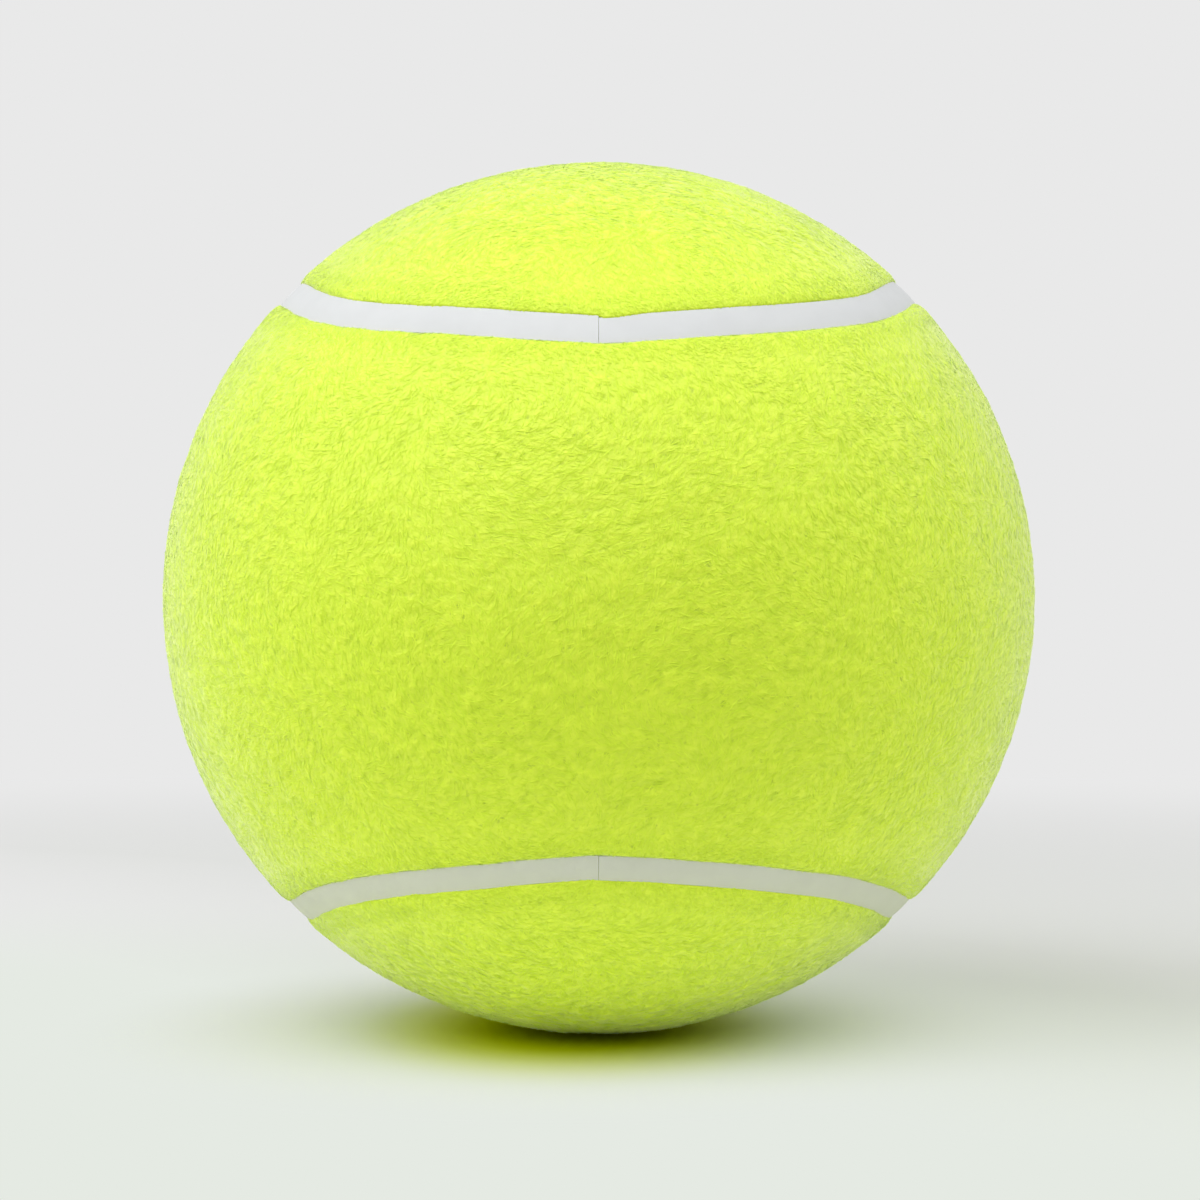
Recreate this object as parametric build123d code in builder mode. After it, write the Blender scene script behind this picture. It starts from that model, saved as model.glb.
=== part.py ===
"""A tennis ball: a rubber core in two halves, two felt panels glued over it and a strip that fills their seam.

Millimetres, +Z up, origin at the ball's centre. The front, which one panel's waist faces, is -Y.
"""

import os
from math import asin, atan2, cos, degrees, radians, sin, sqrt, tan

from build123d import *

# The ball and its layers, from the outside in
ball_diameter = 67.0
felt_thickness = 3.2
adhesive_thickness = 0.2
core_wall = 3.4

# The seam between the two felt panels, and the strip that fills it
seam_width = 2.0
seam_recess = 0.4
felt_edge_radius = 0.9
strip_joint_gap = 0.1

# The seam's path: half the angle across a panel's waist, and half the angle of a straight run between two lobes
waist_half_angle = 33.7
run_half_angle = 22.2

# The cemented joint of the core, with the bead that squeezes out inside it
bond_thickness = 0.3
bead_width = 1.6
bead_height = 0.5

ball_radius = ball_diameter / 2
felt_inner_radius = ball_radius - felt_thickness
core_radius = felt_inner_radius - adhesive_thickness
core_inner_radius = core_radius - core_wall
strip_radius = ball_radius - seam_recess
seam_half_angle = degrees(asin(seam_width / 2 / ball_radius))

# The arc over the top of the front waist is part of a circle about the lobe axis
centre = (0, 0, 0)
waist = radians(waist_half_angle)
run = radians(run_half_angle)
lobe = atan2(sqrt(2) * cos(run) - sin(waist), cos(waist))
lobe_half_angle = degrees(lobe)
lobe_axis = Axis(centre, (0, -cos(waist + lobe), sin(waist + lobe)))
waist_point = Vector(0, -cos(waist), sin(waist))

# From its right-hand end a straight run, part of a great circle, leads to the back through the crossing
crossing = Vector(1, 0, 1).normalized()
turn_to_crossing = lobe_axis.direction.cross(waist_point).get_angle(lobe_axis.direction.cross(crossing))
arc_half_angle = turn_to_crossing - degrees(atan2(tan(run), sin(lobe)))
run_start = waist_point.rotate(lobe_axis, arc_half_angle)
run_axis = Axis(centre, run_start.cross(crossing))

# There it meets the arc round the right-hand lobe, which is the first arc turned a quarter about Y and mirrored
run_end = run_start.rotate(run_axis, 2 * run_half_angle)
side_lobe_axis = Axis(centre, (-sin(waist + lobe), -cos(waist + lobe), 0))

# A quarter of the seam, as its parts' starting points, axes and angles; the other quarters mirror it
arc_part = (waist_point, lobe_axis, arc_half_angle)
run_part = (run_start, run_axis, 2 * run_half_angle)
side_part = (run_end, side_lobe_axis, arc_half_angle)


def seam_plane(point: Vector, axis: Axis) -> Plane:
    """The plane across the seam at a point: x outwards, y away from the axis, facing along the seam."""
    return Plane(origin=centre, x_dir=point, z_dir=axis.direction.cross(point))


def joined(tiles: list[Part]) -> Solid:
    """One solid from tiles that meet face to face: the faces that two tiles share go, and the rest are sewn."""
    faces = [face for tile in tiles for face in tile.faces()]
    middles = [face.center() for face in faces]
    outside = []
    for face, middle in zip(faces, middles):
        if sum((middle - other).length < strip_joint_gap / 100 for other in middles) == 1:
            outside.append(face)
    return Solid(Shell(outside))


def front_panel(inner_radius: float, outer_radius: float, edge_radius: float) -> Solid:
    """The front dumbbell between two radii, with its outer edge rounded where a radius is given."""
    roll_angle = seam_half_angle + degrees(asin(edge_radius / (outer_radius - edge_radius)))
    wall_top = sqrt(outer_radius * (outer_radius - 2 * edge_radius))
    past_middle = 90 - waist_half_angle / 2
    tiles = []
    for (point, axis, angle), reach in (
        (arc_part, past_middle),
        (run_part, past_middle),
        (side_part, lobe_half_angle),
    ):
        with BuildPart() as tile:
            with BuildSketch(seam_plane(point, axis)):
                with BuildLine():
                    inner = CenterArc(centre, inner_radius, seam_half_angle, reach - seam_half_angle)
                    outer = CenterArc(centre, outer_radius, roll_angle, reach - roll_angle)
                    wall = PolarLine(inner @ 0, wall_top - inner_radius, seam_half_angle)
                    if edge_radius:
                        TangentArc(wall @ 1, outer @ 0, tangent=wall % 1)
                    Line(inner @ 1, outer @ 1)
                make_face()
            revolve(axis=axis, revolution_arc=angle)
            split(bisect_by=Plane.XY, keep=Keep.TOP)
        tiles.append(tile.part)
    tiles += [tile.mirror(Plane.YZ) for tile in tiles]
    tiles += [tile.mirror(Plane.XY) for tile in tiles]
    return joined(tiles)


def right_strip(inner_radius: float, outer_radius: float) -> Solid:
    """The right-hand length of the seam's strip between two radii, from the top joint round to the bottom one."""
    joint_angle = degrees(asin(strip_joint_gap / 2 / ball_radius / sin(lobe)))
    joint_part = (waist_point.rotate(lobe_axis, joint_angle), lobe_axis, arc_half_angle - joint_angle)
    tiles = []
    for point, axis, angle in (joint_part, run_part, side_part):
        with BuildPart() as tile:
            with BuildSketch(seam_plane(point, axis)):
                with BuildLine():
                    inner = CenterArc(centre, inner_radius, -seam_half_angle, 2 * seam_half_angle)
                    outer = CenterArc(centre, outer_radius, -seam_half_angle, 2 * seam_half_angle)
                    Line(inner @ 0, outer @ 0)
                    Line(inner @ 1, outer @ 1)
                make_face()
            revolve(axis=axis, revolution_arc=angle)
        tiles.append(tile.part)
    tiles += [tile.mirror(Plane.XY) for tile in tiles]
    return joined(tiles)


def to_back(front: Solid) -> Solid:
    """A front panel's twin at the back: turned a quarter about Y and mirrored."""
    return front.mirror(Plane.XZ).rotate(Axis.Y, 90)


# The core: two moulded half shells
rim_inner_angle = degrees(asin(bond_thickness / 2 / core_inner_radius))
rim_outer_angle = degrees(asin(bond_thickness / 2 / core_radius))
with BuildPart() as core_half_upper:
    with BuildSketch(Plane.XZ):
        with BuildLine():
            cavity = CenterArc(centre, core_inner_radius, rim_inner_angle, 90 - rim_inner_angle)
            outside = CenterArc(centre, core_radius, rim_outer_angle, 90 - rim_outer_angle)
            Line(cavity @ 0, outside @ 0)
            Line(cavity @ 1, outside @ 1)
        make_face()
    revolve(axis=Axis.Z)
core_half_upper.part.label = "core_half_upper"

with BuildPart() as core_half_lower:
    add(core_half_upper.part.mirror(Plane.XY))
core_half_lower.part.label = "core_half_lower"

# The ring of cement between their rims, with its bead inside
bead_end_angle = degrees(asin(bead_width / 2 / core_inner_radius))
with BuildPart() as core_bond_ring:
    with BuildSketch(Plane.XZ):
        with BuildLine():
            bead_foot = CenterArc(centre, core_inner_radius, rim_inner_angle, bead_end_angle - rim_inner_angle)
            rim = CenterArc(centre, core_radius, 0, rim_outer_angle)
            Line(bead_foot @ 0, rim @ 1)
            TangentArc((core_inner_radius - bead_height, 0), bead_foot @ 1, tangent=(0, 1))
            mirror(about=Plane.XZ)
        make_face()
    revolve(axis=Axis.Z)
core_bond_ring.part.label = "core_bond_ring"

# The cement coats, cut to the outlines of the two panels
coat = front_panel(core_radius, felt_inner_radius, 0)
with BuildPart() as panel_adhesive_front:
    add(coat, clean=False)
panel_adhesive_front.part.label = "panel_adhesive_front"

with BuildPart() as panel_adhesive_back:
    add(to_back(coat), clean=False)
panel_adhesive_back.part.label = "panel_adhesive_back"

# The felt panels, whose outer edges roll over into the seam
felt = front_panel(felt_inner_radius, ball_radius, felt_edge_radius)
with BuildPart() as felt_panel_front:
    add(felt, clean=False)
felt_panel_front.part.label = "felt_panel_front"

with BuildPart() as felt_panel_back:
    add(to_back(felt), clean=False)
felt_panel_back.part.label = "felt_panel_back"

# The strip, in two lengths that butt at the front, above and below the waist
strip = right_strip(core_radius, strip_radius)
with BuildPart() as seam_strip_right:
    add(strip, clean=False)
seam_strip_right.part.label = "seam_strip_right"

with BuildPart() as seam_strip_left:
    add(strip.mirror(Plane.YZ), clean=False)
seam_strip_left.part.label = "seam_strip_left"

os.makedirs("parts", exist_ok=True)
for piece in (
    core_half_upper,
    core_half_lower,
    core_bond_ring,
    panel_adhesive_front,
    panel_adhesive_back,
    felt_panel_front,
    felt_panel_back,
    seam_strip_left,
    seam_strip_right,
):
    export_step(piece.part, f"parts/{piece.part.label}.step")
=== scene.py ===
"""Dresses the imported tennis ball: two brushed felt panels, the strip in their seam, the core, and a studio.

Metres, +Z up, origin at the ball's centre. The front panel's waist faces the camera, which looks along +Y.
"""

import logging
from dataclasses import dataclass
from enum import Enum
from math import atan2, cos, pi, radians, sin, sqrt, tan

import bmesh
import bpy
import numpy as np
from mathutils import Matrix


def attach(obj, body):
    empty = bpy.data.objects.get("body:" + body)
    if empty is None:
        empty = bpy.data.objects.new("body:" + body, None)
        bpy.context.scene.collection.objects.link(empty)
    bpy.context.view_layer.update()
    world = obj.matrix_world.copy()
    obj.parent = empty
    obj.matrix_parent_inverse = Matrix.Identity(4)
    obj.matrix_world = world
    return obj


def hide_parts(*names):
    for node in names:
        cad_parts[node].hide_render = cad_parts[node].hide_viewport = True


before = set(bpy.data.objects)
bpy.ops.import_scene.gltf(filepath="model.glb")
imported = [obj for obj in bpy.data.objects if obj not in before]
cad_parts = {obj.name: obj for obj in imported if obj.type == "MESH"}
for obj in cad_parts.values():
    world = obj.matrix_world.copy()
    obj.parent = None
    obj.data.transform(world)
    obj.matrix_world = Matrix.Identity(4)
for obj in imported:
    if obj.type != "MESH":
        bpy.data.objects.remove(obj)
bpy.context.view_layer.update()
log = logging.getLogger("tennis_ball")

MM = 0.001
BODY = "root"
# What the felt and its fibres carry: how freely the pile stands, the place along a fibre, a fibre's tone with
# its painted shade, the height of the tufts, which also sets the felt's painted shade, and the map
LOFT = "loft"
ALONG = "along"
TONE = "tone"
RELIEF = "relief"
MAP = "UVMap"
# A lead past the reach of any slip, for an edge that runs level across a joint
LEVEL = 9.0 * MM
# Points closer together than this are one point
SAME_PLACE = 1e-7


class PanelSide(Enum):
    """Which way a felt panel's waist faces."""

    FRONT = "front"
    BACK = "back"


class StripHand(Enum):
    """Which side of the ball a length of the seam's strip runs round."""

    LEFT = -1
    RIGHT = 1


def linear(colour: str) -> tuple[float, float, float, float]:
    """Turns an sRGB hex colour to linear light.

    Args:
        colour: The colour, such as "#D2EC4B".

    Returns:
        Red, green, blue and an alpha of 1.
    """
    parts = [int(colour[i : i + 2], 16) / 255 for i in (1, 3, 5)]
    red, green, blue = (p / 12.92 if p <= 0.04045 else ((p + 0.055) / 1.055) ** 2.4 for p in parts)
    return red, green, blue, 1.0


def add_node(
    tree: bpy.types.NodeTree, kind: str, feeds: dict | None = None, **settings: object
) -> bpy.types.Node:
    """Adds a node, sets its properties, and fills or links its sockets.

    Args:
        tree: The node tree that gets the node.
        kind: The node's type name.
        feeds: For each input, by name or place, its plain value or the socket that feeds it. A node stands
            for its first output.
        settings: The node's own properties.

    Returns:
        The new node.
    """
    node = tree.nodes.new(kind)
    for name, value in settings.items():
        setattr(node, name, value)
    for socket, source in (feeds or {}).items():
        if isinstance(source, bpy.types.Node):
            source = source.outputs[0]
        if isinstance(source, bpy.types.NodeSocket):
            tree.links.new(source, node.inputs[socket])
        else:
            node.inputs[socket].default_value = source
    return node


def start_material(
    name: str, **values: object
) -> tuple[bpy.types.Material, bpy.types.NodeTree, bpy.types.Node]:
    """Starts a material from a Principled shader with the values that are the same all over.

    Args:
        name: The material's name.
        values: Socket values, with underscores for the spaces in the sockets' names.

    Returns:
        The material, its node tree and the shader node.
    """
    material = bpy.data.materials.new(name)
    material.use_nodes = True
    tree = material.node_tree
    shader = next(n for n in tree.nodes if n.type == "BSDF_PRINCIPLED")
    for socket, value in values.items():
        shader.inputs[socket.replace("_", " ")].default_value = value
    return material, tree, shader


def unit(rows: np.ndarray) -> np.ndarray:
    """Scales each row to length one."""
    return rows / np.linalg.norm(rows, axis=-1, keepdims=True)


def turned(start: np.ndarray, axis: np.ndarray, angles: np.ndarray) -> np.ndarray:
    """Turns one point about an axis through the origin by each of several angles.

    Args:
        start: The point.
        axis: The axis, of length one.
        angles: The angles in radians.

    Returns:
        One row for each angle.
    """
    c = np.cos(angles)[:, None]
    s = np.sin(angles)[:, None]
    return start * c + np.cross(axis, start) * s + axis * (axis @ start) * (1 - c)


def eased(values: np.ndarray) -> np.ndarray:
    """Goes from 0 to 1 with level ends as the values do."""
    t = np.clip(values, 0, 1)
    return t * t * (3 - 2 * t)


@dataclass(frozen=True)
class StripJoint:
    """A butt joint of the seam's strip, and how the two lengths lie by it.

    Attributes:
        up: 1 for the joint above the front waist, -1 for the one below it.
        dip: How far both ends are drawn towards the waist, in metres.
        slip: How much further the right-hand end lies towards the waist, in metres. Above the waist only its
            upper edge does.
        sag: How far the strip lies towards the waist away from the joint, to the left and right, in metres.
        sag_from: How far from the joint the sag begins, in metres.
        spread: How much wider the seam is on this side of the waist, to each side, in metres.
        sag_reach: How far the sag takes to its full depth, in metres.
        dip_reach: How far from the joint the dip ends, in metres.
        dip_round: How far from the joint the dip's tip is rounded, in metres.
        slip_rise: How far the slip takes to its full depth, in metres.
        slip_hold: How far past the joint the slip begins to die away, in metres.
        slip_reach: How far it takes to die away, in metres.
        front_end: How far behind the ball's middle the joint's hold on the seam ends, in metres.
    """

    up: int
    dip: float
    slip: float
    sag: tuple[float, float]
    sag_from: float
    spread: float
    sag_reach: float = 11.0 * MM
    dip_reach: float = 9.0 * MM
    dip_round: float = 0.25 * MM
    slip_rise: float = 0.3 * MM
    slip_hold: float = 0.8 * MM
    slip_reach: float = 3.2 * MM
    front_end: float = 8.0 * MM

    def near(self, places: np.ndarray) -> np.ndarray:
        """Finds how far points of the seam lie in front, on this joint's side of the waist, from 0 to 1."""
        in_front = eased((self.front_end - places[:, 1]) / (2 * self.front_end))
        return np.where(places[:, 2] * self.up > 0, in_front, 0.0)

    def pull(self, places: np.ndarray, lead: float) -> np.ndarray:
        """Finds how far the seam is drawn towards the front panel by this joint.

        Args:
            places: Points on the seam, in metres.
            lead: Where across the joint the slip begins, in metres: before it if negative.

        Returns:
            The distance at each point, in metres.
        """
        x = places[:, 0]
        run = np.sqrt(x * x + self.dip_round**2)
        dip = self.dip * np.clip(1 - run / self.dip_reach, 0, 1)
        rise = eased((x - lead) / self.slip_rise)
        fall = eased(1 - (x - self.slip_hold) / self.slip_reach)
        sag = np.where(x < 0, *self.sag) * eased((run - self.sag_from) / self.sag_reach)
        return self.near(places) * (dip + self.slip * rise * fall + sag)


@dataclass(frozen=True)
class Seam:
    """The closed line between the two felt panels, on the ball's outside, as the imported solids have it.

    The strip's joints shift it a little to either side in front, and widen it there.
    """

    radius: float = 33.5 * MM
    waist_half_angle: float = radians(33.7)
    run_half_angle: float = radians(22.2)
    joints: tuple[StripJoint, ...] = (
        StripJoint(1, 0.36 * MM, 0.26 * MM, (0.62 * MM, 0.42 * MM), 9.0 * MM, 0.22 * MM),
        StripJoint(-1, 0.24 * MM, -0.04 * MM, (-0.34 * MM, -0.14 * MM), 0.5 * MM, 0.07 * MM),
    )

    def quarter(self, spacing: float) -> tuple[np.ndarray, np.ndarray, np.ndarray]:
        """Samples the quarter from the top of the front waist to the back of the right-hand lobe.

        Args:
            spacing: The distance between samples, in metres.

        Returns:
            Points on the unit sphere, directions from them into the front panel, and the angles to its spine.
        """
        waist, run = self.waist_half_angle, self.run_half_angle
        lobe = atan2(sqrt(2) * cos(run) - sin(waist), cos(waist))
        top = np.array((0, -cos(waist), sin(waist)))
        lobe_axis = np.array((0, -cos(waist + lobe), sin(waist + lobe)))
        side_axis = np.array((-sin(waist + lobe), -cos(waist + lobe), 0))
        crossing = unit(np.array((1.0, 0.0, 1.0)))
        arms = unit(np.stack((np.cross(lobe_axis, top), np.cross(lobe_axis, crossing))))
        arc = np.arccos(arms[0] @ arms[1]) - atan2(tan(run), sin(lobe))
        run_start = turned(top, lobe_axis, np.array((arc,)))[0]
        run_axis = unit(np.cross(run_start, crossing))
        run_end = turned(run_start, run_axis, np.array((2 * run,)))[0]
        rows = []
        for start, axis, angle, width in (
            (top, lobe_axis, arc, sin(lobe)),
            (run_start, run_axis, 2 * run, 1.0),
            (run_end, side_axis, arc, sin(lobe)),
        ):
            count = round(angle * width * self.radius / spacing)
            points = turned(start, axis, np.linspace(0, angle, count + 1))
            inward = unit(points * (points @ axis)[:, None] - axis)
            reach = np.arctan2(points[:, 2], -inward[:, 2])
            if axis is side_axis:
                reach[:] = lobe
            rows.append([part[: None if axis is side_axis else -1] for part in (points, inward, reach)])
        points, inward, reach = (np.concatenate(parts) for parts in zip(*rows))
        return points, inward, reach

    def ring(self, spacing: float) -> tuple[np.ndarray, np.ndarray, np.ndarray]:
        """Samples the whole closed seam from its four mirrored quarters.

        Args:
            spacing: The distance between samples, in metres.

        Returns:
            Points on the unit sphere, directions from them into the front panel, and the angles to its spine.
        """
        points, inward, reach = self.quarter(spacing)
        rows = []
        for x, z, order in ((1, 1, 1), (1, -1, -1), (-1, -1, 1), (-1, 1, -1)):
            mirror = np.array((x, 1, z))
            rows.append([part[::order][:-1] for part in (points * mirror, inward * mirror, reach)])
        points, inward, reach = (np.concatenate(parts) for parts in zip(*rows))
        return points, inward, reach

    def pull(self, points: np.ndarray, leads: tuple[float, float]) -> np.ndarray:
        """Finds how far the strip's joints draw the seam towards the front panel.

        Args:
            points: Points on the unit sphere.
            leads: Where across the upper and the lower joint the slip begins, in metres.

        Returns:
            The distance at each point, in metres.
        """
        places = points * self.radius
        return sum(joint.pull(places, lead) for joint, lead in zip(self.joints, leads))

    def widening(self, points: np.ndarray) -> np.ndarray:
        """Finds how much wider than its least width the seam is, to each side.

        Args:
            points: Points on the unit sphere.

        Returns:
            The distance at each point, in metres.
        """
        return sum(joint.spread * joint.near(points * self.radius) for joint in self.joints)


def wander(points: np.ndarray, phase: float) -> np.ndarray:
    """Gives the unevenness of a hand-laid edge: slow waves of about 3 to 11 mm along it.

    Args:
        points: Points on the unit sphere.
        phase: A number that sets one edge's waves apart from another's.

    Returns:
        A value from about -1 to 1 at each point.
    """
    x, y, z = points.T
    slow = np.sin(19 * x + 11 * y - 17 * z + phase)
    middle = np.sin(41 * y - 37 * x + 29 * z + 2.3 * phase)
    quick = np.sin(67 * z + 59 * x - 43 * y + 3.1 * phase)
    return 0.5 * slow + 0.3 * middle + 0.2 * quick


def mesh_from_rings(
    name: str, rings: np.ndarray, maps: np.ndarray, lofts: np.ndarray, skips: tuple[int, ...], closed: bool
) -> bpy.types.Mesh:
    """Skins a stack of rings of points, merges what coincides and turns the faces outwards.

    Args:
        name: The mesh's name.
        rings: Points in metres, by ring and place.
        maps: The rings' places on the piece's own map, by ring and place.
        lofts: How freely the pile stands, from 0 to 1, by ring.
        skips: Rings after which there is no band of faces.
        closed: Whether the last place of a ring joins its first.

    Returns:
        The closed mesh, with its map and its loft.
    """
    count, size = rings.shape[:2]
    place = np.arange(size if closed else size - 1)
    after = (place + 1) % size
    bands = [
        np.stack((k * size + place, k * size + after, (k + 1) * size + after, (k + 1) * size + place), axis=1)
        for k in range(count - 1)
        if k not in skips
    ]
    faces = np.concatenate(bands)
    mesh = bpy.data.meshes.new(name)
    mesh.from_pydata(rings.reshape(-1, 3).tolist(), [], faces.tolist())
    free = np.repeat(lofts, size).astype(np.float32)
    mesh.attributes.new(LOFT, "FLOAT", "POINT").data.foreach_set("value", free)
    corners = maps.reshape(-1, 2)[faces.ravel()].ravel().astype(np.float32)
    mesh.uv_layers.new(name=MAP).data.foreach_set("uv", corners)
    skin = bmesh.new()
    skin.from_mesh(mesh)
    bmesh.ops.remove_doubles(skin, verts=skin.verts, dist=SAME_PLACE)
    bmesh.ops.holes_fill(skin, edges=[e for e in skin.edges if e.is_boundary], sides=0)
    bmesh.ops.recalc_face_normals(skin, faces=skin.faces)
    for face in skin.faces:
        face.smooth = len(face.verts) <= 4
        if not face.smooth:
            for edge in face.edges:
                edge.smooth = False
    skin.to_mesh(mesh)
    skin.free()
    return mesh


def place_piece(name: str, mesh: bpy.types.Mesh, replaced: str | None = None) -> bpy.types.Object:
    """Puts a mesh into the scene as a piece of the ball.

    Args:
        name: The piece's name.
        mesh: Its mesh, in the ball's frame.
        replaced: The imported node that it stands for, if any.

    Returns:
        The piece's object.
    """
    piece = bpy.data.objects.new(name, mesh)
    bpy.context.scene.collection.objects.link(piece)
    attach(piece, BODY)
    if replaced:
        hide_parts(replaced)
    log.info("%s: %d faces", name, len(mesh.polygons))
    return piece


def grown(mesh: bpy.types.Mesh, tree: bpy.types.NodeTree, sizes: dict[str, object]) -> bpy.types.Mesh:
    """Runs a geometry tree on a mesh and keeps the result as a plain mesh.

    Args:
        mesh: The mesh that the tree starts from, which stays as it is.
        tree: The geometry tree.
        sizes: Values for the tree's named inputs.

    Returns:
        The new mesh.
    """
    carrier = bpy.data.objects.new("carrier", mesh)
    bpy.context.scene.collection.objects.link(carrier)
    modifier = carrier.modifiers.new(tree.name, "NODES")
    modifier.node_group = tree
    for item in tree.interface.items_tree:
        if item.in_out == "INPUT" and item.name in sizes:
            modifier[item.identifier] = sizes[item.name]
    depsgraph = bpy.context.evaluated_depsgraph_get()
    result = bpy.data.meshes.new_from_object(carrier.evaluated_get(depsgraph), depsgraph=depsgraph)
    bpy.data.objects.remove(carrier)
    return result


def start_tree(
    name: str, inputs: dict[str, str]
) -> tuple[bpy.types.NodeTree, bpy.types.Node, bpy.types.Node]:
    """Starts a geometry tree with a geometry going in and out, and named inputs.

    Args:
        name: The tree's name.
        inputs: The socket type of each further input, by name.

    Returns:
        The tree, its input node and its output node.
    """
    tree = bpy.data.node_groups.new(name, "GeometryNodeTree")
    tree.interface.new_socket("Geometry", in_out="INPUT", socket_type="NodeSocketGeometry")
    for label, kind in inputs.items():
        tree.interface.new_socket(label, in_out="INPUT", socket_type=kind)
    tree.interface.new_socket("Geometry", in_out="OUTPUT", socket_type="NodeSocketGeometry")
    return tree, add_node(tree, "NodeGroupInput"), add_node(tree, "NodeGroupOutput")


@dataclass(frozen=True)
class BrushedFelt:
    """Needled wool and nylon felt with its nap raised by brushing: a matt, bright ground with soft mottling.

    The fluorescent dye makes it a saturated yellow-green. Painted shade makes it brightest on the tufts and
    deeper between them, where light is lost among the fibres, and here and there paints a pit darker green.
    """

    # The colour on the tufts, the deeper colour of painted shade between them, and the painted shade in the
    # pits
    bright: str = "#E6FB2E"
    deep: str = "#CBE61A"
    painted_pit_shade: str = "#B8D210"
    pit: float = 0.5 * MM
    fleck: float = 0.25 * MM
    fleck_share: float = 0.5
    deep_below: float = 0.4
    bright_above: float = 1.05
    pit_rim: float = 0.37
    pit_floor: float = 0.2
    bump_strength: float = 0.4
    bump_depth: float = 0.1 * MM

    def material(self) -> bpy.types.Material:
        """Makes the felt's material.

        Returns:
            The material.
        """
        material, tree, shader = start_material(
            "wool_nylon_felt_brushed",
            Roughness=0.65,
            IOR=1.53,
            Specular_IOR_Level=0.85,
            Sheen_Weight=0.7,
            Sheen_Roughness=0.4,
        )
        place = add_node(tree, "ShaderNodeTexCoord").outputs["Object"]
        pits, flecks = (
            add_node(
                tree, "ShaderNodeTexNoise", {"Vector": place, "Scale": 1 / size, "Detail": 2.0}
            ).outputs["Fac"]
            for size in (self.pit, self.fleck)
        )
        # Painted shade: the colour deepens where the tufts are low, mixed with a random fleck tone
        relief = add_node(tree, "ShaderNodeAttribute", attribute_name=RELIEF)
        tone = add_node(
            tree,
            "ShaderNodeMath",
            {0: flecks, 1: self.fleck_share, 2: relief.outputs["Fac"]},
            operation="MULTIPLY_ADD",
        )
        depth = add_node(
            tree,
            "ShaderNodeMapRange",
            {"Value": tone, "From Min": self.deep_below, "From Max": self.bright_above},
        )
        ground = add_node(
            tree, "ShaderNodeMix", {0: depth, 6: linear(self.deep), 7: linear(self.bright)}, data_type="RGBA"
        )
        # Painted shade: the pits that the bump sinks turn a darker green
        painted_pit_mask = add_node(
            tree, "ShaderNodeMapRange", {"Value": pits, "From Min": self.pit_rim, "From Max": self.pit_floor}
        )
        colour = add_node(
            tree, "ShaderNodeMix", {0: painted_pit_mask, 6: ground.outputs[2], 7: linear(self.painted_pit_shade)}, data_type="RGBA"
        )
        tree.links.new(colour.outputs[2], shader.inputs["Base Color"])
        height = add_node(tree, "ShaderNodeMath", {0: pits, 1: flecks}, operation="ADD")
        bump = add_node(
            tree,
            "ShaderNodeBump",
            {"Strength": self.bump_strength, "Distance": self.bump_depth, "Height": height},
        )
        tree.links.new(bump.outputs["Normal"], shader.inputs["Normal"])
        return material


@dataclass(frozen=True)
class NapFibre:
    """A drawn nylon or wool fibre of the nap: slightly glossy, with painted shade deep at the root, clear at
    the tip.
    """

    pale: str = "#E8FB3E"
    usual: str = "#DEF734"
    deep: str = "#D0EC26"
    root_shade_end: float = 0.45

    def material(self) -> bpy.types.Material:
        """Makes the fibres' material, which reads the tone and the place along a fibre from its map.

        Returns:
            The material.
        """
        material, tree, shader = start_material(
            "nylon_fibre_dyed",
            Roughness=0.72,
            IOR=1.53,
            Specular_IOR_Level=0.6,
            Sheen_Weight=0.6,
            Sheen_Roughness=0.4,
        )
        place = add_node(tree, "ShaderNodeUVMap", uv_map=MAP)
        parts = add_node(tree, "ShaderNodeSeparateXYZ", {0: place.outputs["UV"]})
        # The tone, part random and part painted shade of the tufts, picks the colour from deep to pale
        tones = add_node(tree, "ShaderNodeValToRGB", {"Fac": parts.outputs["X"]})
        stops = tones.color_ramp.elements
        stops[0].position, stops[0].color = 0.0, linear(self.deep)
        stops[1].position, stops[1].color = 1.0, linear(self.pale)
        stops.new(0.5).color = linear(self.usual)
        # Painted shade: the fibre turns deep towards its root
        clear = add_node(
            tree, "ShaderNodeMapRange", {"Value": parts.outputs["Y"], "From Max": self.root_shade_end}
        )
        blend = add_node(
            tree,
            "ShaderNodeMix",
            {0: clear, 6: linear(self.deep), 7: tones.outputs["Color"]},
            data_type="RGBA",
        )
        tree.links.new(blend.outputs[2], shader.inputs["Base Color"])
        return material


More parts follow.
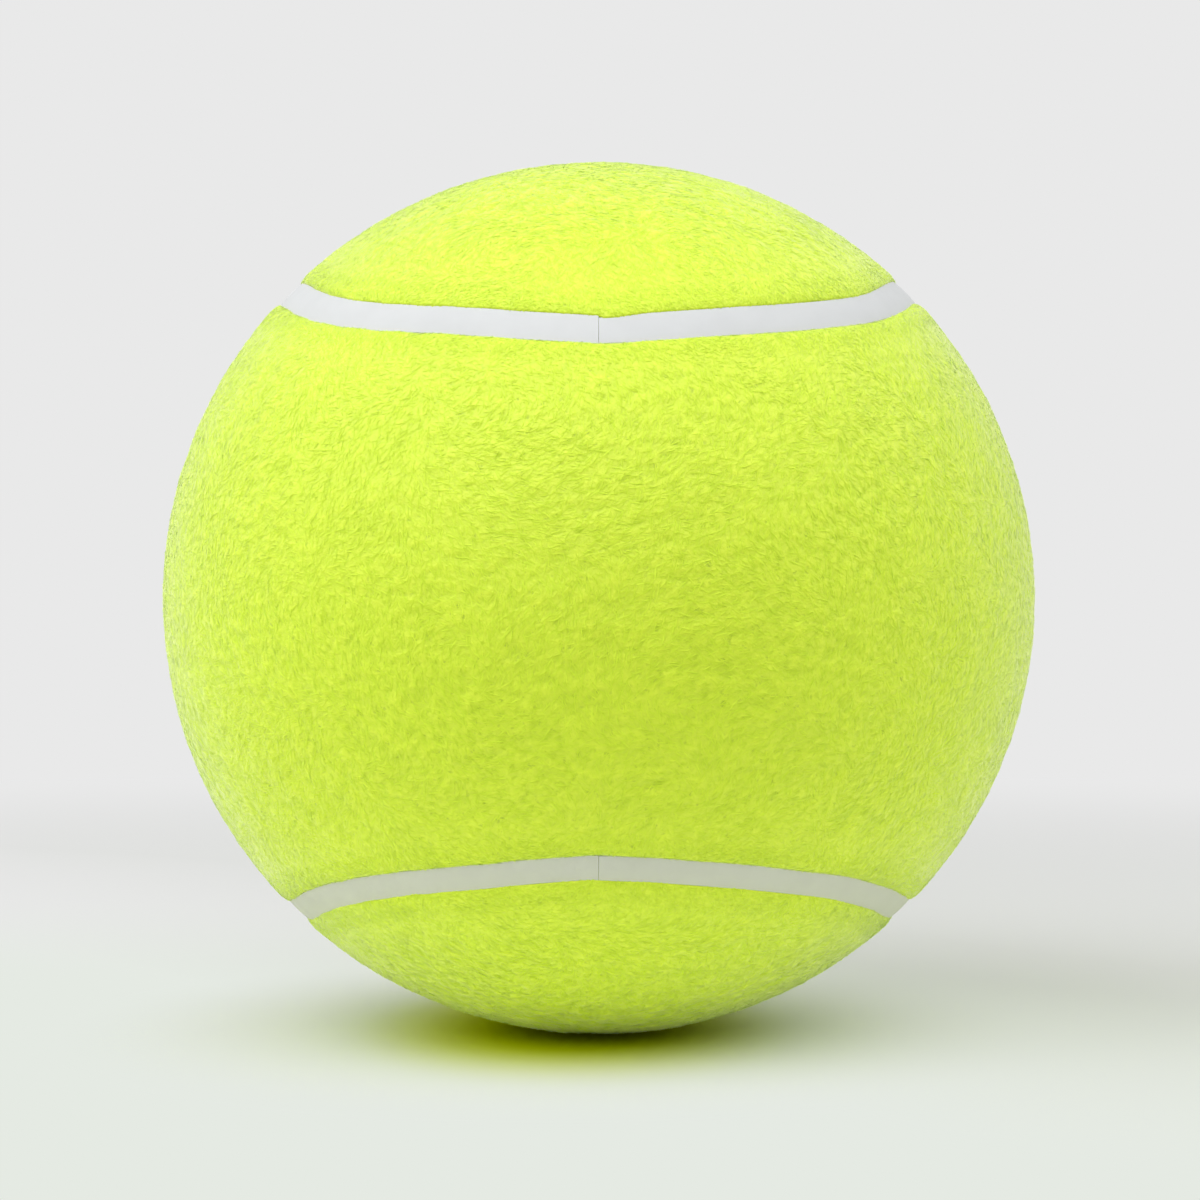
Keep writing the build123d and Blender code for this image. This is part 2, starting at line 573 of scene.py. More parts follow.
@dataclass(frozen=True)
class CloudedRubber:
    """A rubber or a cured cement: a matt body colour, softly clouded, with a fine tooth that dulls its shine.

    Attributes:
        name: The material's name.
        light: The paler colour of its clouding.
        dark: The darker colour of its clouding.
        cloud: The clouds' size in metres.
        tooth: The tooth's size in metres.
        roughness: The shader's roughness.
        ior: The shader's index of refraction.
        detail: How broken the clouds are.
        tooth_strength: How strongly the tooth shows, from 0 to 1.
        tooth_depth: The tooth's depth in metres.
    """

    name: str
    light: str
    dark: str
    cloud: float
    tooth: float
    roughness: float
    ior: float = 1.52
    detail: float = 4.0
    tooth_strength: float = 0.4
    tooth_depth: float = 0.03 * MM

    def material(self) -> bpy.types.Material:
        """Makes the material.

        Returns:
            The material.
        """
        material, tree, shader = start_material(self.name, Roughness=self.roughness, IOR=self.ior)
        place = add_node(tree, "ShaderNodeTexCoord").outputs["Object"]
        clouds, tooth = (
            add_node(
                tree, "ShaderNodeTexNoise", {"Vector": place, "Scale": 1 / size, "Detail": detail}
            ).outputs["Fac"]
            for size, detail in ((self.cloud, self.detail), (self.tooth, 2.0))
        )
        blend = add_node(
            tree, "ShaderNodeMix", {0: clouds, 6: linear(self.dark), 7: linear(self.light)}, data_type="RGBA"
        )
        tree.links.new(blend.outputs[2], shader.inputs["Base Color"])
        bump = add_node(
            tree,
            "ShaderNodeBump",
            {"Strength": self.tooth_strength, "Distance": self.tooth_depth, "Height": tooth},
        )
        tree.links.new(bump.outputs["Normal"], shader.inputs["Normal"])
        return material


# The strip is calendered white rubber tape, laid in while soft: smooth, off-white and faintly clouded
RUBBER_TAPE = CloudedRubber(
    "white_rubber_tape_calendered", "#D1D3D5", "#C7C9CB", 2.4 * MM, 0.12 * MM, 0.62, 1.5, 3.0, 0.3, 0.02 * MM
)
# The two halves are pressed from black rubber in a mould with a fine matt tooth
MOULDED_RUBBER = CloudedRubber("black_rubber_moulded", "#383838", "#2C2C2D", 3.0 * MM, 0.25 * MM, 0.7)
# Solvent rubber cement dries to a dull dark brown skin
RUBBER_CEMENT = CloudedRubber("rubber_cement_cured", "#5A4C36", "#463A28", 1.5 * MM, 0.3 * MM, 0.55)
# Latex cement, brushed on, dries to a tan skin that is streaky where it is thin
LATEX_CEMENT = CloudedRubber("latex_cement_brushed", "#C4A878", "#A98C5C", 2.5 * MM, 0.35 * MM, 0.6)


def relief_tree() -> bpy.types.NodeTree:
    """Builds the geometry tree that raises the felt's tufts, as its loft lets them, and marks their relief.

    Returns:
        The tree, with the inputs Tuft, Height, Clump, Swell and Material.
    """
    tree, given, out = start_tree(
        "felt_tufts",
        dict.fromkeys(("Tuft", "Height", "Clump", "Swell"), "NodeSocketFloat")
        | {"Material": "NodeSocketMaterial"},
    )
    place = add_node(tree, "GeometryNodeInputPosition").outputs[0]
    levels, heights = [], []
    for size, height in (("Tuft", "Height"), ("Clump", "Swell")):
        scale = add_node(tree, "ShaderNodeMath", {0: 1.0, 1: given.outputs[size]}, operation="DIVIDE")
        noise = add_node(
            tree, "ShaderNodeTexNoise", {"Vector": place, "Scale": scale, "Detail": 2.0, "Distortion": 0.6}
        )
        levels.append(noise.outputs["Fac"])
        level = add_node(tree, "ShaderNodeMath", {0: noise.outputs["Fac"], 1: 0.5}, operation="SUBTRACT")
        part = add_node(tree, "ShaderNodeMath", {0: level, 1: given.outputs[height]}, operation="MULTIPLY")
        heights.append(part.outputs[0])
    both = add_node(tree, "ShaderNodeMath", {0: heights[0], 1: heights[1]}, operation="ADD")
    loft = add_node(tree, "GeometryNodeInputNamedAttribute", {"Name": LOFT}, data_type="FLOAT")
    free = add_node(tree, "ShaderNodeMath", {0: both, 1: loft}, operation="MULTIPLY")
    normal = add_node(tree, "GeometryNodeInputNormal")
    shift = add_node(tree, "ShaderNodeVectorMath", {0: normal, "Scale": free}, operation="SCALE")
    moved = add_node(
        tree, "GeometryNodeSetPosition", {"Geometry": given.outputs["Geometry"], "Offset": shift}
    )
    marked = add_node(
        tree,
        "GeometryNodeStoreNamedAttribute",
        {"Geometry": moved, "Name": RELIEF, "Value": levels[0]},
        data_type="FLOAT",
    )
    real = add_node(tree, "GeometryNodeRealizeInstances", {0: marked})
    dressed = add_node(
        tree, "GeometryNodeSetMaterial", {"Geometry": real, "Material": given.outputs["Material"]}
    )
    tree.links.new(dressed.outputs[0], out.inputs[0])
    return tree


def nap_tree() -> bpy.types.NodeTree:
    """Builds the geometry tree that lays arched fibres over the felt, in swirls, with both ends in it.

    Returns:
        The tree, with the inputs Density, Length, Width, Lift, Swirl, Stray, Side, Seed and Material.
    """
    tree, given, out = start_tree(
        "felt_nap",
        dict.fromkeys(("Density", "Length", "Width", "Lift", "Swirl", "Stray", "Side"), "NodeSocketFloat")
        | {"Seed": "NodeSocketInt", "Material": "NodeSocketMaterial"},
    )
    place = add_node(tree, "GeometryNodeInputPosition").outputs[0]
    loft, relief, own_tone, own_along = (
        add_node(tree, "GeometryNodeInputNamedAttribute", {"Name": name}, data_type="FLOAT").outputs[0]
        for name in (LOFT, RELIEF, TONE, ALONG)
    )

    # Points on one half of the panel, where the pile stands, closer together along the cut edge
    least_loft, edge_crowding = 0.05, 2.6
    axes = add_node(tree, "ShaderNodeSeparateXYZ", {0: place})
    side = add_node(
        tree, "ShaderNodeMath", {0: axes.outputs["X"], 1: given.outputs["Side"]}, operation="MULTIPLY"
    )
    half = add_node(tree, "FunctionNodeCompare", {0: side, 1: 0.0}, operation="GREATER_THAN")
    free = add_node(tree, "FunctionNodeCompare", {0: loft, 1: least_loft}, operation="GREATER_THAN")
    where = add_node(tree, "FunctionNodeBooleanMath", {0: half, 1: free}, operation="AND")
    edge = add_node(
        tree,
        "ShaderNodeMapRange",
        {"Value": loft, "From Min": 0.3, "From Max": 0.15, "To Min": 1.0, "To Max": edge_crowding},
    )
    thick = add_node(tree, "ShaderNodeMath", {0: edge, 1: given.outputs["Density"]}, operation="MULTIPLY")
    points = add_node(
        tree,
        "GeometryNodeDistributePointsOnFaces",
        {
            "Mesh": given.outputs["Geometry"],
            "Selection": where,
            "Density": thick,
            "Seed": given.outputs["Seed"],
        },
    )

    # The nap's direction turns slowly over the ball, and each fibre strays from it
    scale = add_node(tree, "ShaderNodeMath", {0: 1.0, 1: given.outputs["Swirl"]}, operation="DIVIDE")
    flow = add_node(tree, "ShaderNodeTexNoise", {"Vector": place, "Scale": scale, "Detail": 1.0})
    signed = add_node(
        tree, "ShaderNodeVectorMath", {0: flow.outputs["Color"], 1: (0.5, 0.5, 0.5)}, operation="SUBTRACT"
    )
    lying = add_node(
        tree, "ShaderNodeVectorMath", {0: points.outputs["Normal"], 1: signed}, operation="CROSS_PRODUCT"
    )
    upright = add_node(
        tree, "FunctionNodeAlignRotationToVector", {"Vector": points.outputs["Normal"]}, axis="Z"
    )
    combed = add_node(
        tree,
        "FunctionNodeAlignRotationToVector",
        {"Rotation": upright, "Vector": lying},
        axis="X",
        pivot_axis="Z",
    )
    back = add_node(tree, "ShaderNodeMath", {0: given.outputs["Stray"], 1: -1.0}, operation="MULTIPLY")
    stray = add_node(
        tree, "FunctionNodeRandomValue", {2: back, 3: given.outputs["Stray"], "Seed": 11}, data_type="FLOAT"
    )
    most_roll, most_pitch = 0.3, 0.08
    roll, pitch = (
        add_node(tree, "FunctionNodeRandomValue", {2: -most, 3: most, "Seed": seed}, data_type="FLOAT")
        for most, seed in ((most_roll, 12), (most_pitch, 13))
    )
    loose = add_node(
        tree, "ShaderNodeCombineXYZ", {0: roll.outputs[1], 1: pitch.outputs[1], 2: stray.outputs[1]}
    )
    spin = add_node(tree, "FunctionNodeEulerToRotation", {0: loose})
    laid = add_node(
        tree, "FunctionNodeRotateRotation", {"Rotation": combed, "Rotate By": spin}, rotation_space="LOCAL"
    )

    # Each fibre has its own length, width and lift, and is shorter near the seam
    spread = []
    for label, least, most, seed in (
        ("Length", 0.55, 1.4, 21),
        ("Width", 0.7, 1.25, 22),
        ("Lift", 0.35, 1.5, 23),
    ):
        share = add_node(
            tree, "FunctionNodeRandomValue", {2: least, 3: most, "Seed": seed}, data_type="FLOAT"
        )
        own = add_node(
            tree, "ShaderNodeMath", {0: share.outputs[1], 1: given.outputs[label]}, operation="MULTIPLY"
        )
        spread.append(own.outputs[0])
    grade = add_node(tree, "ShaderNodeMapRange", {"Value": loft, "To Min": 0.5, "To Max": 1.0})
    length = add_node(tree, "ShaderNodeMath", {0: spread[0], 1: grade}, operation="MULTIPLY")
    size = add_node(tree, "ShaderNodeCombineXYZ", {0: length, 1: spread[1], 2: spread[2]})

    # A fibre is a tapered ribbon of unit size that leaves the felt, arches and comes down, straight or bent
    # to a side. At t along it, it is start + rise * t - fall * t * t high and narrower by narrowing * t * t
    start, rise, fall, narrowing = -0.35, 3.6, 3.1, 0.8
    grid = add_node(
        tree, "GeometryNodeMeshGrid", {"Size X": 1.0, "Size Y": 1.0, "Vertices X": 3, "Vertices Y": 2}
    )
    flat = add_node(tree, "ShaderNodeSeparateXYZ", {0: place})
    t = add_node(tree, "ShaderNodeMath", {0: flat.outputs["X"], 1: 0.5}, operation="ADD").outputs[0]
    square = add_node(tree, "ShaderNodeMath", {0: t, 1: t}, operation="MULTIPLY").outputs[0]
    marked = add_node(
        tree,
        "GeometryNodeStoreNamedAttribute",
        {"Geometry": grid, "Name": ALONG, "Value": t},
        data_type="FLOAT",
    )
    taper = add_node(tree, "ShaderNodeMath", {0: square, 1: -narrowing, 2: 1.0}, operation="MULTIPLY_ADD")
    width = add_node(tree, "ShaderNodeMath", {0: flat.outputs["Y"], 1: taper}, operation="MULTIPLY")
    climb = add_node(tree, "ShaderNodeMath", {0: t, 1: rise, 2: start}, operation="MULTIPLY_ADD")
    arch = add_node(tree, "ShaderNodeMath", {0: square, 1: -fall, 2: climb}, operation="MULTIPLY_ADD")
    choice = add_node(tree, "GeometryNodeGeometryToInstance")
    for bend in (-1.5, 0.0, 1.5):
        lean = add_node(tree, "ShaderNodeMath", {0: square, 1: bend, 2: width}, operation="MULTIPLY_ADD")
        shape = add_node(tree, "ShaderNodeCombineXYZ", {0: flat.outputs["X"], 1: lean, 2: arch})
        bent = add_node(tree, "GeometryNodeSetPosition", {"Geometry": marked, "Position": shape})
        tree.links.new(bent.outputs[0], choice.inputs[0])
    fibres = add_node(
        tree,
        "GeometryNodeInstanceOnPoints",
        {
            "Points": points.outputs["Points"],
            "Instance": choice,
            "Pick Instance": True,
            "Rotation": laid,
            "Scale": size,
        },
    )
    which = add_node(tree, "FunctionNodeRandomValue", {4: 0, 5: 2, "Seed": 31}, data_type="INT")
    tree.links.new(which.outputs[2], fibres.inputs["Instance Index"])

    # Painted shade makes a fibre paler on a tuft than beside it, and each has a random tone of its own
    most_raised, least_tone, most_tone = 0.45, 0.12, 0.43
    raised = add_node(
        tree, "ShaderNodeMapRange", {"Value": relief, "From Min": 0.3, "From Max": 0.7, "To Max": most_raised}
    )
    chance = add_node(
        tree, "FunctionNodeRandomValue", {2: least_tone, 3: most_tone, "Seed": 32}, data_type="FLOAT"
    )
    tone = add_node(tree, "ShaderNodeMath", {0: raised, 1: chance.outputs[1]}, operation="ADD")
    toned = add_node(
        tree,
        "GeometryNodeStoreNamedAttribute",
        {"Geometry": fibres, "Name": TONE, "Value": tone},
        data_type="FLOAT",
        domain="INSTANCE",
    )
    real = add_node(tree, "GeometryNodeRealizeInstances", {0: toned})
    spot = add_node(tree, "ShaderNodeCombineXYZ", {0: own_tone, 1: own_along})
    mapped = add_node(
        tree,
        "GeometryNodeStoreNamedAttribute",
        {"Geometry": real, "Name": MAP, "Value": spot},
        data_type="FLOAT2",
        domain="CORNER",
    )
    smooth = add_node(tree, "GeometryNodeSetShadeSmooth", {"Geometry": mapped})
    dressed = add_node(
        tree, "GeometryNodeSetMaterial", {"Geometry": smooth, "Material": given.outputs["Material"]}
    )
    tree.links.new(dressed.outputs[0], out.inputs[0])
    return tree


@dataclass
class FeltPanel:
    """One dumbbell of felt, cut flat and stretched over the core, with its raised nap."""

    side: PanelSide
    seam: Seam
    outer_radius: float = 33.46 * MM
    inner_radius: float = 30.3 * MM
    seam_half_width: float = 1.0 * MM
    edge_roll: float = 0.9 * MM
    edge_drop: float = 0.18 * MM
    edge_wander: float = 0.08 * MM
    # Where across the strip's joints the cut edge steps with it
    step_lead: float = 0.1 * MM
    early_lead: float = -0.35 * MM
    # How freely the pile stands at the cut edge, how much more where the roll ends, and how far in it is held
    edge_loft: float = 0.06
    roll_loft: float = 0.14
    flattened: float = 6.0 * MM
    # The mesh and its map
    spacing: float = 0.33 * MM
    dome_rows: int = 64
    roll_rows: int = 6
    inside_rows: int = 8
    map_span: float = radians(310)
    map_outside: float = 0.62
    map_inside: float = 0.2
    # The panel as it is cut from flat felt
    flat_size: tuple[float, float] = (0.045, 0.161)
    flat_area: float = 0.0061
    # Tufts, the clumps that they stand in, and the fibres of the nap
    tuft: float = 0.75 * MM
    tuft_height: float = 0.33 * MM
    clump: float = 4.0 * MM
    clump_swell: float = 0.2 * MM
    fibre_density: float = 11.8e6
    fibre_length: float = 0.9 * MM
    fibre_width: float = 0.065 * MM
    fibre_lift: float = 0.075 * MM
    nap_swirl: float = 13.0 * MM
    nap_stray: float = 0.9

    @property
    def node(self) -> str:
        """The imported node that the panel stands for."""
        return f"felt_panel_{self.side.value}"

    def to_world(self, rows: np.ndarray) -> np.ndarray:
        """Puts rows that were made for the front panel where this panel is."""
        if self.side is PanelSide.FRONT:
            return rows
        return np.stack((rows[..., 2], -rows[..., 1], -rows[..., 0]), axis=-1)

    def edge(self, points: np.ndarray) -> np.ndarray:
        """Finds how far the panel's cut edge lies from the middle of the seam.

        Args:
            points: Points of the seam on the unit sphere, where this panel is.

        Returns:
            The distances in metres.
        """
        if self.side is PanelSide.FRONT:
            inwards, leads, phase = 1, (LEVEL, self.step_lead), 0.7
        else:
            inwards, leads, phase = -1, (self.step_lead, self.early_lead), 4.1
        half_width = self.seam_half_width + self.seam.widening(points)
        return half_width + inwards * self.seam.pull(points, leads) + self.edge_wander * wander(points, phase)

    def mesh(self) -> bpy.types.Mesh:
        """Builds the panel from rings: its outside, the rolled edge, the cut wall and the glued inside.

        Returns:
            The closed mesh, smooth and without its tufts.
        """
        points, inward, reach = self.seam.ring(self.spacing)
        edge = self.edge(self.to_world(points)) / self.seam.radius
        rows: list[tuple[np.ndarray, float, float, np.ndarray]] = []
        start = edge + self.edge_roll / self.outer_radius
        for share in np.linspace(1, 0, self.dome_rows + 1):
            angle = start + (reach - start) * share
            free = eased((angle - edge) * self.outer_radius / self.flattened)
            rows.append((angle, self.outer_radius, float(free.mean()), angle))
        for share in np.linspace(1, 0, self.roll_rows + 1)[1:]:
            angle = edge + self.edge_roll * share / self.outer_radius
            drop = self.edge_drop * (1 - share) ** 2
            rows.append((angle, self.outer_radius - drop, self.edge_loft + self.roll_loft * share, angle))
        wall_top = self.outer_radius - self.edge_drop
        for share in (0.5, 0.0):
            radius = self.inner_radius + (wall_top - self.inner_radius) * share
            rows.append((edge, radius, 0.0, edge - (wall_top - radius) / self.outer_radius))
        first_inside = len(rows)
        for share in np.linspace(0, 1, self.inside_rows + 1):
            angle = edge + (reach - edge) * share
            rows.append((angle, self.inner_radius, 0.0, angle))
        rings, maps, lofts = [], [], []
        for k, (angle, radius, loft, shown) in enumerate(rows):
            rings.append(radius * self.lateral(points, inward, angle))
            maps.append(self.spread(self.lateral(points, inward, shown), k >= first_inside))
            lofts.append(loft)
        skips = (first_inside - 1,)
        placed = self.to_world(np.stack(rings))
        return mesh_from_rings(self.node, placed, np.stack(maps), np.array(lofts), skips, True)

    @staticmethod
    def lateral(points: np.ndarray, inward: np.ndarray, angle: np.ndarray) -> np.ndarray:
        """Goes from points of the seam into the panel by an angle each."""
        return points * np.cos(angle)[:, None] + inward * np.sin(angle)[:, None]

    def spread(self, points: np.ndarray, inside: bool) -> np.ndarray:
        """Lays points of the front panel out flat on its map.

        Args:
            points: Points on the unit sphere.
            inside: Whether they are on the glued side, which has its own part of the map.

        Returns:
            Places on the map, which is as wide as map_span round the ball.
        """
        middle = self.map_inside if inside else self.map_outside
        u = 0.5 + np.arctan2(points[:, 0], -points[:, 1]) / self.map_span
        v = middle + np.arcsin(np.clip(points[:, 2], -1, 1)) / self.map_span
        return np.stack((u, v), axis=-1)

    def build(self, felt: bpy.types.Material, fibre: bpy.types.Material) -> list[bpy.types.Object]:
        """Makes the panel with its tufts, and the fibres of its nap in two halves.

        Args:
            felt: The felt's material.
            fibre: The fibres' material.

        Returns:
            The panel and the two pieces of its nap.
        """
        ground = grown(
            self.mesh(),
            relief_tree(),
            {
                "Tuft": self.tuft,
                "Height": self.tuft_height,
                "Clump": self.clump,
                "Swell": self.clump_swell,
                "Material": felt,
            },
        )
        panel = place_piece(f"{self.node}_brushed", ground, self.node)
        naps = []
        for name, side, seed in (("left", -1.0, 5), ("right", 1.0, 6)):
            nap = grown(
                ground,
                nap_tree(),
                {
                    "Density": self.fibre_density,
                    "Length": self.fibre_length,
                    "Width": self.fibre_width,
                    "Lift": self.fibre_lift,
                    "Swirl": self.nap_swirl,
                    "Stray": self.nap_stray,
                    "Side": side,
                    "Seed": seed,
                    "Material": fibre,
                },
            )
            naps.append(place_piece(f"felt_nap_{self.side.value}_{name}", nap))
        return [panel, *naps]


@dataclass
class SeamStrip:
    """One length of the pale strip, from the joint above the front waist round one side to the one below."""

    hand: StripHand
    seam: Seam
    half_width: float = 1.03 * MM
    top_radius: float = 33.27 * MM
    side_radius: float = 31.6 * MM
    foot_radius: float = 30.12 * MM
    crown: float = 0.05 * MM
    edge_round: float = 0.04 * MM
    edge_wander: float = 0.01 * MM
    joint_gap: float = 0.022 * MM
    step_lead: float = -1.0 * MM
    spacing: float = 0.4 * MM
    corner_points: int = 4
    crown_points: int = 9
    map_ends: tuple[float, float] = (0.02, 0.98)
    map_start: float = 0.4
    map_step: float = 0.012

    @property
    def node(self) -> str:
        """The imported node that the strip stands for."""
        return f"seam_strip_{self.hand.name.lower()}"

    def profile(self) -> tuple[np.ndarray, np.ndarray]:
        """Draws the strip's section: a low crown with rounded edges over straight sides.

        Returns:
            The places across, as shares of the half width, and the radii in metres, round the section.
        """
        corner = self.edge_round / self.half_width
        turn = np.linspace(0, pi / 2, self.corner_points)
        right = 1 - corner * (1 - np.cos(turn))
        rise = self.top_radius - self.edge_round * (1 - np.sin(turn))
        across = np.linspace(1 - corner, -(1 - corner), self.crown_points)[1:-1]
        top = self.top_radius + self.crown * (1 - (across / (1 - corner)) ** 2)
        shares = np.concatenate(((1.0, 1.0), right, across, -right[::-1], (-1.0, -1.0)))
        wall = np.array((self.foot_radius, self.side_radius))
        return shares, np.concatenate((wall, rise, top, rise[::-1], wall[::-1]))

    def mesh(self) -> bpy.types.Mesh:
        """Runs the section along the strip's half of the seam.

        Returns:
            The closed mesh.
        """
        points, inward, _ = self.seam.quarter(self.spacing)
        over = np.array((1, 1, -1))
        points = np.concatenate((points, (points * over)[-2::-1]))
        inward = np.concatenate((inward, (inward * over)[-2::-1]))
        hand = np.array((self.hand.value, 1, 1))
        points, inward = points * hand, inward * hand
        lead = self.step_lead if self.hand is StripHand.RIGHT else LEVEL
        back = self.seam.pull(points, (lead, lead))
        front = self.seam.pull(points, (LEVEL, lead))
        half_width = self.half_width + self.seam.widening(points)
        shares, radii = self.profile()
        rings = []
        for share, radius in zip(shares, radii):
            phase = 2.0 if share > 0 else 5.0
            wide = half_width + self.edge_wander * wander(points, phase)
            pull = back + (front - back) * (share + 1) / 2
            angle = (pull + share * wide) / self.seam.radius
            row = radius * FeltPanel.lateral(points, inward, angle)
            row[[0, -1], 0] = self.hand.value * self.joint_gap / 2
            rings.append(row)
        rings.append(rings[0])
        along = np.linspace(*self.map_ends, len(points))
        round_it = self.map_start + self.map_step * np.arange(len(rings))
        maps = np.stack(np.meshgrid(along, round_it), axis=-1)
        return mesh_from_rings(self.node, np.stack(rings), maps, np.zeros(len(rings)), (), False)

    def build(self, tape: bpy.types.Material) -> bpy.types.Object:
        """Makes the strip and dresses it.

        Args:
            tape: The strip's material.

        Returns:
            The piece.
        """
        mesh = self.mesh()
        mesh.materials.append(tape)
        return place_piece(f"{self.node}_laid", mesh, self.node)


@dataclass
class Core:
    """The pressed rubber core and its cement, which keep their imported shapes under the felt."""

    halves: tuple[str, ...] = ("core_half_upper", "core_half_lower")
    bonds: tuple[str, ...] = ("core_bond_ring",)
    coats: tuple[str, ...] = ("panel_adhesive_front", "panel_adhesive_back")

    def dress(self) -> None:
        """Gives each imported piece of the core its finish."""
        for names, finish in (
            (self.halves, MOULDED_RUBBER),
            (self.bonds, RUBBER_CEMENT),
            (self.coats, LATEX_CEMENT),
        ):
            material = finish.material()
            for name in names:
                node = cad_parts[name]
                node.data.materials.clear()
                node.data.materials.append(material)
                log.info("%s: %s", name, material.name)


@dataclass(frozen=True)
class Softbox:
    """A round soft lamp that is turned to the ball.

    Attributes:
        name: The lamp's name.
        place: Where it hangs, in metres.
        size: Its diameter in metres.
        watts: Its power.
    """

    name: str
    place: tuple[float, float, float]
    size: float
    watts: float

    def hang(self) -> bpy.types.Object:
        """Hangs the lamp.

        Returns:
            The lamp.
        """
        data = bpy.data.lights.new(self.name, "AREA")
        data.shape = "DISK"
        data.size = self.size
        data.energy = self.watts
        lamp = bpy.data.objects.new(self.name, data)
        lamp.location = self.place
        lamp.rotation_euler = (-lamp.location).to_track_quat("-Z", "Y").to_euler()
        bpy.context.scene.collection.objects.link(lamp)
        return lamp


@dataclass
class Studio:
    """A pale paper floor that runs out into an even backdrop, three soft lamps above, and the camera.

    The floor's shading fades soon on the lit side and further off on the shadow's side. By the contact the
    felt's light on the paper is painted in as colour bleed, also into the light that the paper throws back,
    and a faint green reflection of the felt is painted close in front of the ball. The room is bright above,
    behind and beside the ball, and darker behind the camera.
    """

    floor_height: float = -33.5 * MM
    floor_half: float = 3.0
    # The paper's own colour, the colour of the light that it throws back, and the backdrop's
    paper: str = "#D2D3D1"
    bounce: str = "#F2F4DA"
    backdrop: str = "#E9E9E9"
    # A painted green reflection of the felt on the floor in front, and where it ends behind the ball's middle
    front: str = "#E5EAE3"
    painted_green_from: float = 0.1
    painted_green_to: float = 0.02
    # Painted colour bleed, the felt's light on the paper by the contact, which multiplies the paper's colour,
    # and where it fades
    painted_bleed: str = "#FFFF09"
    painted_bleed_from: float = 0.009
    painted_bleed_to: float = 0.028
    painted_bleed_shape: tuple[float, float, float] = (1.5, 1.0, 0.0)
    painted_bleed_shift: tuple[float, float, float] = (0.003, 0.0, 0.0)
    # Where the floor's shading fades on the lit side, which way the shadow lies, and where all shading ends
    shadow_from: float = 0.012
    shadow_to: float = 0.04
    shadow_way: tuple[float, float, float] = (0.75, 0.66, 0.0)
    shadow_shift: tuple[float, float, float] = (0.003, -0.002, 0.0)
    shadow_lit: float = -0.01
    shadow_dark: float = 0.06
    floor_from: float = 0.1
    floor_to: float = 0.3
    camera_place: tuple[float, float, float] = (0.09 * MM, -207.7 * MM, -0.15 * MM)
    lens: float = 79.94
    # The fill from all round, and how much of it is left behind the camera, on the floor and on the wall
    fill: float = 0.5
    room: float = 0.3
    room_from: float = -0.043
    room_to: float = -0.081
    wall_way: tuple[float, float, float] = (0.0, 0.8, 0.6)
    wall_dark: float = -0.85
    wall_light: float = -0.25
    softboxes: tuple[Softbox, ...] = (
        Softbox("softbox_left", (-0.66, -0.18, 0.66), 1.0, 4.3),
        Softbox("softbox_right", (0.66, -0.18, 0.66), 1.0, 3.05),
        Softbox("softbox_front", (-0.15, -0.56, 0.6), 1.0, 4.05),
    )

    def paper_material(self) -> bpy.types.Material:
        """Makes the floor's matt paper, whose shading gives way to the plain backdrop away from the ball.

        Returns:
            The material.
        """
        material = bpy.data.materials.new("studio_paper_matt")
        material.use_nodes = True
        tree = material.node_tree
        tree.nodes.clear()
        place = add_node(tree, "ShaderNodeTexCoord").outputs["Object"]
        axes = add_node(tree, "ShaderNodeSeparateXYZ", {0: place})

        # How far the shading has faded: soon on the lit side, and everywhere far from the ball
        on_floor = (1, 1, 0)
        level_place = add_node(
            tree,
            "ShaderNodeVectorMath",
            {0: place, 1: on_floor, 2: self.shadow_shift},
            operation="MULTIPLY_ADD",
        )
        far = add_node(tree, "ShaderNodeVectorMath", {0: level_place}, operation="LENGTH")
        fades = [
            add_node(
                tree,
                "ShaderNodeMapRange",
                {"Value": far.outputs["Value"], "From Min": start, "From Max": end},
                interpolation_type="SMOOTHSTEP",
            ).outputs["Result"]
            for start, end in ((self.shadow_from, self.shadow_to), (self.floor_from, self.floor_to))
        ]
        along = add_node(
            tree, "ShaderNodeVectorMath", {0: place, 1: self.shadow_way}, operation="DOT_PRODUCT"
        )
        lit = add_node(
            tree,
            "ShaderNodeMapRange",
            {"Value": along.outputs["Value"], "From Min": self.shadow_dark, "From Max": self.shadow_lit},
        )
        soon = add_node(tree, "ShaderNodeMath", {0: fades[0], 1: lit}, operation="MULTIPLY")
        fade = add_node(tree, "ShaderNodeMath", {0: soon, 1: fades[1]}, operation="MAXIMUM")
        path = add_node(tree, "ShaderNodeLightPath")
        direct, glossy = path.outputs["Is Camera Ray"], path.outputs["Is Glossy Ray"]
        seen = add_node(tree, "ShaderNodeMath", {0: direct, 1: glossy}, operation="MAXIMUM")
        shown = add_node(tree, "ShaderNodeMath", {0: seen, 1: fade}, operation="MULTIPLY")

        # The floor throws back less light where the room is dark, and in a warmer colour than it shows
        near = add_node(
            tree,
            "ShaderNodeMapRange",
            {
                "Value": axes.outputs["Y"],
                "From Min": self.room_to,
                "From Max": self.room_from,
                "To Min": self.room,
            },
            interpolation_type="SMOOTHSTEP",
        ).outputs["Result"]
        level = add_node(tree, "ShaderNodeMath", {0: near, 1: direct}, operation="MAXIMUM").outputs[0]
        own = add_node(
            tree,
            "ShaderNodeMix",
            {0: direct, 6: linear(self.bounce), 7: linear(self.paper)},
            data_type="RGBA",
        )

